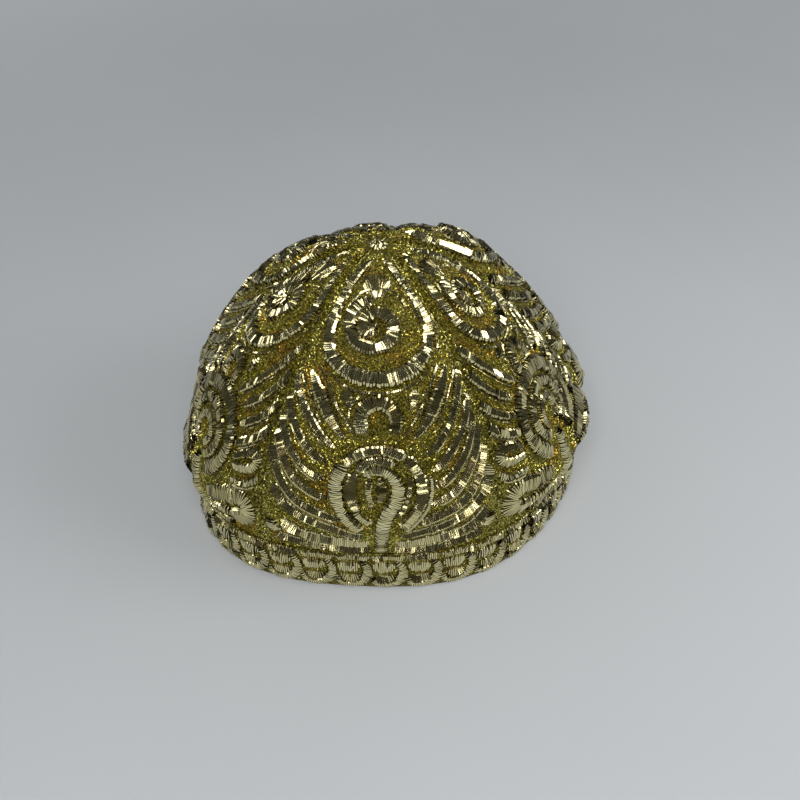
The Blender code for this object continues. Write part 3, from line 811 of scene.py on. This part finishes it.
def gore_pieces(gore, stitches, tones, knots):
    """One gore: its ground cloth, lining, satin stitches and chain stitches."""
    ground = sheet_piece("ground_cloth_" + gore, (36, 60), gore_place(gore, 0.0, 0.15), CLOTH_THICK,
                         GROUND_CLOTH, ["gore_" + gore])
    panel = sheet_piece("lining_panel_" + gore, (24, 40), gore_place(gore, LINING_DEPTH, 0.0), LINING_THICK,
                        LINING_CLOTH, ["lining_" + gore])
    # Each stitch's tone differs a little on each gore; the padding strips keep tone 0, painted shade
    # between the stitches
    own = np.clip(tones + RNG.normal(0.0, 0.05, len(tones)), 0.05, 1.0)
    satin_piece("satin_stitches_" + gore, on_gore(gore, stitches),
                np.where(tones > 0.0, own, 0.0),
                [kind + gore for kind in ("teardrop_", "coil_", "scroll_", "eye_loop_", "eye_stem_")])
    share = LINES[gore].half_widths[0] / FRONT.half_widths[0]
    kept = knots[RNG.random(len(knots)) < min(1.0, share * 1.1)]
    knot_piece("chain_stitches_" + gore, on_gore(gore, kept), CHAIN_THREAD, 0.5, 0.24)


def seam_piece(gore):
    """Rows of small stitches over the seam on a gore's right."""
    seam = math.radians(GORES[gore][1])
    rises = np.linspace(BAND_RISE + 0.004, 0.972, 500)
    line = crown_point(np.full_like(rises, seam), rises)
    lengths = np.concatenate([[0.0], np.cumsum(np.linalg.norm(np.diff(line, axis=0), axis=1))])
    rows = np.arange(-SEAM_ROWS, SEAM_ROWS + 1)
    steps = np.arange(0.5, lengths[-1], SEAM_STEP)
    row, step = np.meshgrid(rows, steps, indexing="ij")
    places = np.stack([row.ravel() * SEAM_ROW, step.ravel() + 0.4 * (row.ravel() % 2)], -1)
    places = places + RNG.normal(0.0, 0.07, places.shape)
    ways = np.stack([np.where(row.ravel() % 2 == 0, 0.5, -0.5), np.ones(row.size)], -1)
    drawn = knot_solids(places, ways, 1.05)
    rise = np.interp(drawn[..., 1], lengths, rises)
    radius = np.interp(drawn[..., 1], lengths, np.hypot(line[:, 0] - AXIS_X, line[:, 1] - AXIS_Y))
    narrow = np.clip(radius / SEAM_NARROW_RADIUS, 0.25, 1.0)
    points = lifted_point(seam + drawn[..., 0] * narrow / radius, rise, drawn[..., 2] + 0.15)
    knot_piece("seam_stitches_right_of_" + gore, points, BRAID_THREAD, 0.42, 0.25,
               ["seam_braid_right_of_" + gore])


def ring_piece(name, grid, edges, depth, thickness, material, node):
    """A ring of cloth round the headband, cut as a strip of its own height."""
    ring_sheet = sheet_piece(name, grid, ring_place(*edges, depth), thickness, material, [node])
    closed_ring(ring_sheet)


def band_pieces():
    """The headband: its cloth, its repeated blocks, the chain stitches between them, and its edge."""
    ring_piece("headband_cloth", (160, 8), (0.3, BAND_HEIGHT - 0.2), 0.0, BAND_THICK,
               GROUND_CLOTH, "headband")
    pitch = BAND_LENGTH / BAND_BLOCKS
    drawing = Drawing()
    for k in range(BAND_BLOCKS):
        draw_cartouche(drawing, (k + 0.1) * pitch, pitch)
    stitches, tones = drawing.all()
    satin_piece("headband_satin_stitches", on_band(stitches), tones)
    candidates = scattered(-8.0, BAND_LENGTH + 8.0, 0.5, 22.9)
    places, ways = knots_between(drawing.ribbons, candidates)
    along, down = places[:, 0], places[:, 1]
    inside = (along > 0.0) & (along < BAND_LENGTH) & (down > 0.3) & (down < 22.7)
    knots = knot_solids(places[inside], ways[inside], 0.95)
    knot_piece("headband_chain_stitches", on_band(knots), CHAIN_THREAD, 0.5, 0.24)
    along = np.arange(0.0, BAND_LENGTH, 0.9)
    rows = [np.stack([along, np.full_like(along, -0.35)], -1),
            np.stack([along + 0.45, np.full_like(along, 0.35)], -1)]
    edge = np.concatenate(rows)
    knots = knot_solids(edge, np.tile([[1.0, 0.45]], (len(edge), 1)), 1.15)
    knots[..., 2] += 0.35
    knot_piece("headband_edge_stitches", on_band(knots), BRAID_THREAD, 0.45, 0.22,
               ["headband_edge_braid"])
    ring_piece("interlining_ring", (120, 4), CANVAS_EDGES, CANVAS_DEPTH, CANVAS_THICK,
               CANVAS_CLOTH, "headband_interlining")
    ring_piece("sweatband_ribbon", (160, 10), SWEATBAND_EDGES, SWEATBAND_DEPTH,
               SWEATBAND_THICK, GROSGRAIN_CLOTH, "sweatband")


def tip_piece():
    """The crown's tip: a small button of stitches that spread from its middle."""
    top = CROWN_HEIGHT + 0.6
    turns = np.linspace(0.0, math.tau, BUTTON_STITCHES, endpoint=False)
    out = np.linspace(0.0, 1.0, len(ACROSS))[None, :, None]
    radius = BUTTON_HEART + BUTTON_REACH * out
    turn = turns[:, None, None] + EDGES * 0.12
    rock = RNG.normal(0.0, 0.15, len(turns))[:, None, None] * EDGES
    x = AXIS_X + radius * np.sin(turn)
    y = AXIS_Y - radius * np.cos(turn)
    z = top + BUTTON_RISE * (1.0 - out**2.2) - 0.5 * out + rock
    points = np.stack(np.broadcast_arrays(x, y, z), -1)
    tones = RNG.uniform(0.3, 0.9, len(turns))
    mesh_object("tip_button", points, instance_faces(STITCH_FACES, len(turns), STITCH_CORNERS),
                SATIN_THREAD, ["tip_rosette"], tone=np.repeat(tones, STITCH_CORNERS))


def scattered(left, right, low, high):
    """Places on an even grid, each moved by a little: where chain stitches may go."""
    columns, rows = np.arange(left, right, SEARCH_STEP), np.arange(low, high, SEARCH_STEP)
    x, y = np.meshgrid(columns, rows, indexing="ij")
    return np.stack([x.ravel(), y.ravel()], -1) + RNG.normal(0.0, 0.12, (x.size, 2))


def seam_borders():
    """Lines along the front gore's two seams, for the chain stitches' rows to follow."""
    up = np.arange(2.0, PATTERN_TOP, 0.8)
    borders = []
    for sign in (-1.0, 1.0):
        line = np.stack([sign * (front_half_width(up) - SEAM_MARGIN + 0.4), up], -1)
        way = np.gradient(line, axis=0)
        borders.append((line, way / np.linalg.norm(way, axis=1, keepdims=True), np.zeros(len(up))))
    return borders


def build_cap():
    """Every piece of the cap."""
    candidates = scattered(-60.0, 60.0, 0.6, PATTERN_TOP)
    room = front_half_width(candidates[:, 1]) - SEAM_MARGIN + 0.3
    candidates = candidates[np.abs(candidates[:, 0]) < room]
    drawn = {}
    for front in (True, False):
        drawing = draw_gore(front)
        stitches, tones = drawing.all()
        middle = stitches[:, 2:4].mean((1, 2))
        fits = np.abs(middle[:, 0]) < front_half_width(middle[:, 1]) - 0.6 * SEAM_MARGIN
        places, ways = knots_between(drawing.ribbons + seam_borders(), candidates)
        drawn[front] = (stitches[fits], tones[fits], knot_solids(places, ways))
    for gore in GORES:
        gore_pieces(gore, *drawn[gore == "front"])
        seam_piece(gore)
    band_pieces()
    tip_piece()


# --- Floor, light and camera, in metres ---

def paper_material():
    """Pale paper with faint unevenness, which glows a little far from the cap, as if lit from afar."""
    material, tree, shader, place = new_material("studio_paper")
    pale = [(0.3, (0.585, 0.605, 0.62)), (0.7, (0.605, 0.625, 0.64))]
    link(tree, ramped(tree, noise_of(tree, place, 5.0), pale), shader.inputs["Base Color"])
    shader.inputs["Roughness"].default_value = 0.9
    reach = tree.nodes.new("ShaderNodeVectorMath")
    reach.operation = "LENGTH"
    link(tree, place.outputs["Object"], reach.inputs[0])
    glow = tree.nodes.new("ShaderNodeMapRange")
    glow.interpolation_type = "SMOOTHSTEP"
    glow.inputs["From Min"].default_value = 0.40
    glow.inputs["From Max"].default_value = 1.6
    glow.inputs["To Max"].default_value = 0.24
    link(tree, reach.outputs["Value"], glow.inputs["Value"])
    link(tree, glow.outputs["Result"], shader.inputs["Emission Strength"])
    shader.inputs["Emission Color"].default_value = (0.95, 0.97, 1.0, 1.0)
    material.cycles.emission_sampling = "NONE"
    return material


def turned_sheet(name, rings, material):
    """A sheet of paper turned round the upright axis, from (radius, height) pairs."""
    turns = np.linspace(0.0, math.tau, 96, endpoint=False)
    size = len(turns)
    points = [(radius * math.cos(turn), radius * math.sin(turn), height - FLOOR_GAP)
              for radius, height in rings for turn in turns]
    faces = []
    for level in range(len(rings) - 1):
        low = level * size
        for k in range(size):
            faces.append((low + k, low + size + k, low + size + (k + 1) % size, low + (k + 1) % size))
    mesh = bpy.data.meshes.new(name)
    mesh.from_pydata(points, [], faces)
    mesh.polygons.foreach_set("use_smooth", [True] * len(faces))
    mesh.materials.append(material)
    sheet = bpy.data.objects.new(name, mesh)
    bpy.context.scene.collection.objects.link(sheet)
    return sheet


def make_floor():
    """A pale floor and the backdrop that it curves up into all round."""
    paper = paper_material()
    turned_sheet("studio_floor", [(0.0005, 0.0), (0.25, 0.0), (0.6, 0.0), (1.0, 0.0)], paper)
    curve = [(1.0, 0.0), (1.5, 0.0), (1.75, 0.05), (2.0, 0.2), (2.2, 0.5), (2.3, 0.9), (2.35, 1.6),
             (2.4, 2.4)]
    backdrop = turned_sheet("studio_backdrop", curve, paper)
    backdrop.visible_glossy = False


def area_light(name, place, target, size, radiance, glossy=True):
    """A soft square light, either one that only lights the floor or one that the gold mirrors."""
    light = bpy.data.lights.new(name, "AREA")
    light.shape = "SQUARE"
    light.size = size
    light.energy = radiance * math.pi * size * size
    lamp = bpy.data.objects.new(name, light)
    lamp.location = place
    aim = Vector(target) - Vector(place)
    lamp.rotation_mode = "QUATERNION"
    lamp.rotation_quaternion = aim.to_track_quat("-Z", "Y")
    lamp.visible_glossy = glossy
    lamp.visible_diffuse = not glossy
    bpy.context.scene.collection.objects.link(lamp)


def make_camera():
    """The camera: in front of the cap, looking down at it, turned very slightly."""
    elevation, roll, distance = math.radians(38.66), math.radians(-1.236), 0.5194
    back = Vector((0.0, -math.cos(elevation), math.sin(elevation)))
    right = Vector((1.0, 0.0, 0.0))
    up = back.cross(right)
    turned_right = right * math.cos(roll) + up * math.sin(roll)
    turned_up = up * math.cos(roll) - right * math.sin(roll)
    place = Vector((AXIS_X * MM, AXIS_Y * MM, AIM_HEIGHT)) + back * distance
    camera = bpy.data.cameras.new("camera")
    camera.sensor_width = 36.0
    camera.lens = 47.7927
    camera.shift_x = 0.02405
    camera.shift_y = -0.0204625
    camera.clip_start = 0.01
    holder = bpy.data.objects.new("camera", camera)
    holder.matrix_world = Matrix((
        (turned_right.x, turned_up.x, back.x, place.x),
        (turned_right.y, turned_up.y, back.y, place.y),
        (turned_right.z, turned_up.z, back.z, place.z),
        (0.0, 0.0, 0.0, 1.0)))
    bpy.context.scene.collection.objects.link(holder)
    bpy.context.scene.camera = holder


def light_scene():
    """Soft studio light: fills that light the floor, and boxes that the gold thread mirrors."""
    target = (0.0, 0.0, AIM_HEIGHT)
    area_light("floor_key", (-0.10, -1.05, 1.05), (-0.05, -0.30, 0.0), 0.8, 6.2, glossy=False)
    area_light("floor_fill", (0.75, -0.25, 0.55), (0.15, -0.1, 0.0), 0.5, 3.4, glossy=False)
    area_light("backdrop_fill", (-0.7, 0.7, 0.8), (-0.3, 1.1, 0.0), 0.5, 0.7, glossy=False)
    # Each box's place, size and radiance
    boxes = [
        ((-0.05, -0.12, 0.90), 0.30, 6.0),
        ((0.80, 0.25, 0.50), 0.34, 5.5),
        ((-0.80, 0.20, 0.50), 0.24, 5.0),
        ((0.25, -0.75, 0.62), 0.15, 5.5),
        ((-0.45, -0.70, 0.50), 0.14, 5.5),
        ((0.50, -0.25, 0.85), 0.14, 6.0),
        ((-0.45, -0.05, 0.85), 0.14, 6.0),
        ((0.05, 0.60, 0.75), 0.30, 3.6),
        ((0.62, -0.62, 0.20), 0.10, 5.0),
        ((-0.70, -0.50, 0.16), 0.10, 5.0),
        ((0.55, 0.70, 0.45), 0.16, 3.0),
        ((-0.55, 0.70, 0.45), 0.16, 3.0),
        ((0.0, -0.95, 0.30), 0.10, 5.0),
    ]
    for number, (place, size, radiance) in enumerate(boxes):
        area_light(f"box_{number}", place, target, size, radiance)
    world = bpy.data.worlds.new("room")
    world.use_nodes = True
    world.node_tree.nodes["Background"].inputs["Color"].default_value = (0.054, 0.056, 0.048, 1.0)
    bpy.context.scene.world = world
    bpy.context.scene.view_settings.view_transform = "Standard"


build_cap()
make_floor()
light_scene()
make_camera()
